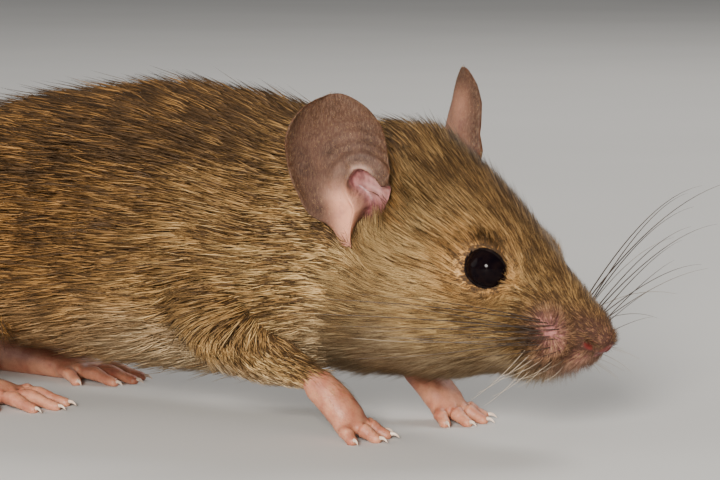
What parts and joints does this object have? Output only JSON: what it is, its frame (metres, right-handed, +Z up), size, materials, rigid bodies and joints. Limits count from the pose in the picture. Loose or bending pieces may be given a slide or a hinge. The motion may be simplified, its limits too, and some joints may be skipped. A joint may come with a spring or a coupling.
{
  "type": "house mouse",
  "caption": "Life-size still model of a brown house mouse standing low with its head down and its long thin tail laid on the ground.",
  "frame": {"origin": "on the ground under the middle of the model's bounding box", "axes": "+X towards the nose, +Y towards the mouse's left, +Z up"},
  "size_m": [0.1436, 0.0334, 0.0279],
  "materials": {
    "coat": "short agouti fur, golden brown with dark tips, paler below",
    "bare_skin": "thin pink bare skin",
    "ear_skin": "thin pinkish brown skin with fine down",
    "tail_skin": "ringed scaly skin with sparse short hair",
    "eye": "glossy wet black"
  },
  "bodies": {
    "root": {"head": "coat", "neck": "coat", "trunk": "coat", "foreleg_left": "coat", "foreleg_right": "coat", "hindleg_left": "coat", "hindleg_right": "coat", "forefoot_left": "bare_skin", "forefoot_right": "bare_skin", "hindfoot_left": "bare_skin", "hindfoot_right": "bare_skin", "ear_left": "ear_skin", "ear_right": "ear_skin", "tail_base": "tail_skin", "tail_middle": "tail_skin", "tail_tip": "tail_skin", "eye_left": "eye", "eye_right": "eye"}
  },
  "joints": []
}
